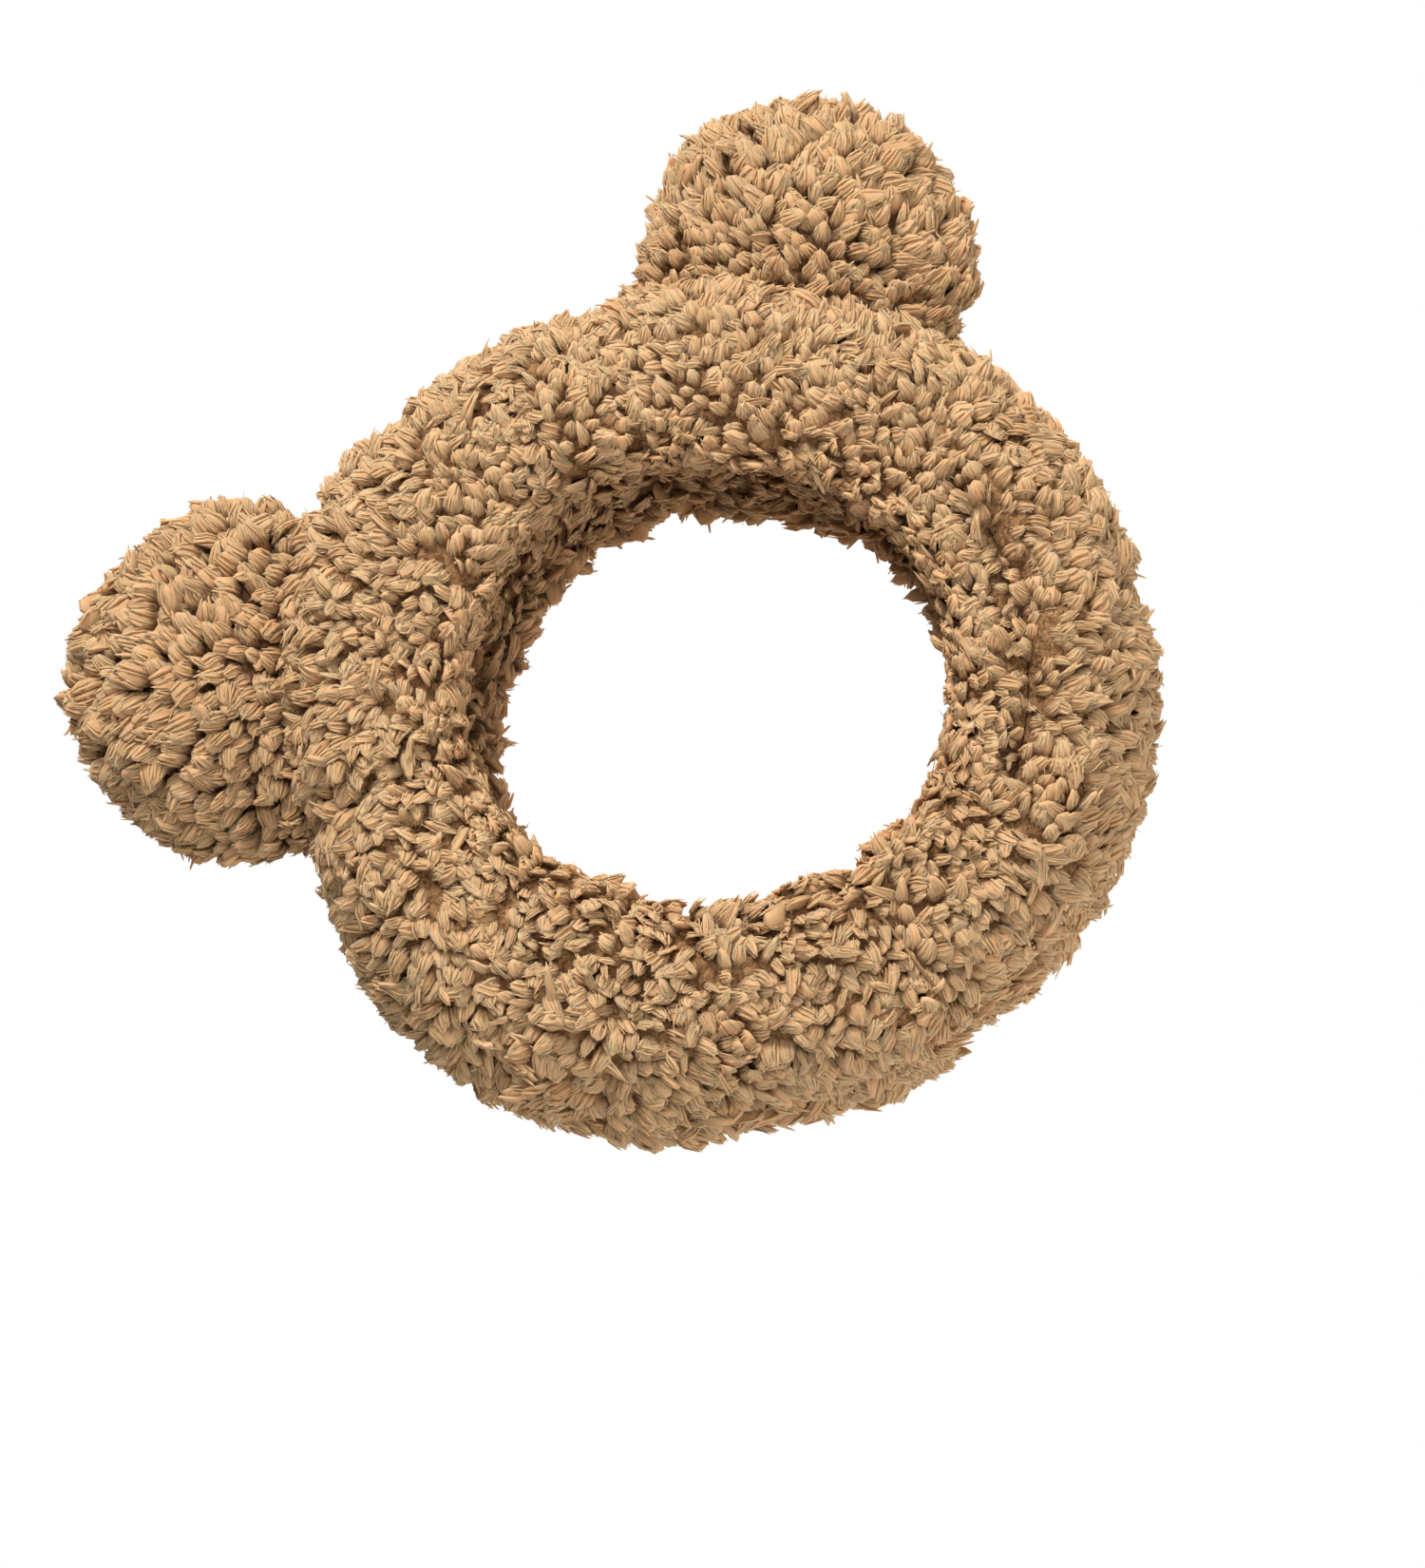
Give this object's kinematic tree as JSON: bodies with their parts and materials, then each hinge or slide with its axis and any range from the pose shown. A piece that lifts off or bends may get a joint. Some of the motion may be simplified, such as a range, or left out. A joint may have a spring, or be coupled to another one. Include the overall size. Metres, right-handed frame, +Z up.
{
  "type": "animal ears headband",
  "caption": "Wide stuffed ring headband in brown teddy fleece, worn round the face and nape, with round stuffed bear ears sewn to the top of its outer side.",
  "frame": {"origin": "centre of the head opening, on the ring's own axis and halfway through its depth", "axes": "+Z up as worn, towards the crown between the ears; +Y along the ring's axis, from the front face to the back; +X across, towards the ear on the viewer's right"},
  "size_m": [0.269, 0.0812, 0.2356],
  "materials": {
    "teddy_fleece": "dense curled polyester pile in small pointed tufts, matt with a faint fibre sheen",
    "polyester_wadding": "loose white fibre, matt",
    "elastic_web": "ribbed woven elastic, matt",
    "sewing_thread": "twisted polyester thread"
  },
  "bodies": {
    "root": {"band_outer_fleece": "teddy_fleece", "band_inner_fleece": "teddy_fleece", "band_wadding": "polyester_wadding", "band_elastic": "elastic_web", "band_front_seam": "sewing_thread", "band_rear_seam": "sewing_thread", "band_nape_seam": "sewing_thread", "left_ear_base_stitching": "sewing_thread", "right_ear_base_stitching": "sewing_thread"},
    "left_ear": {"left_ear_front_fleece": "teddy_fleece", "left_ear_back_fleece": "teddy_fleece", "left_ear_stuffing": "polyester_wadding", "left_ear_edge_seam": "sewing_thread"},
    "right_ear": {"right_ear_front_fleece": "teddy_fleece", "right_ear_back_fleece": "teddy_fleece", "right_ear_stuffing": "polyester_wadding", "right_ear_edge_seam": "sewing_thread"}
  },
  "joints": [
    {"name": "left_ear_flex", "type": "hinge", "parent": "root", "child": "left_ear", "pos_m": [-0.08528, 0, 0.07414], "axis": [0.6561, 0, 0.7547], "range_deg": [-25, 25], "stiffness_Nm_per_rad": 0.12},
    {"name": "right_ear_flex", "type": "hinge", "parent": "root", "child": "right_ear", "pos_m": [0.08528, 0, 0.07414], "axis": [0.6561, 0, -0.7547], "range_deg": [-25, 25], "stiffness_Nm_per_rad": 0.12}
  ]
}
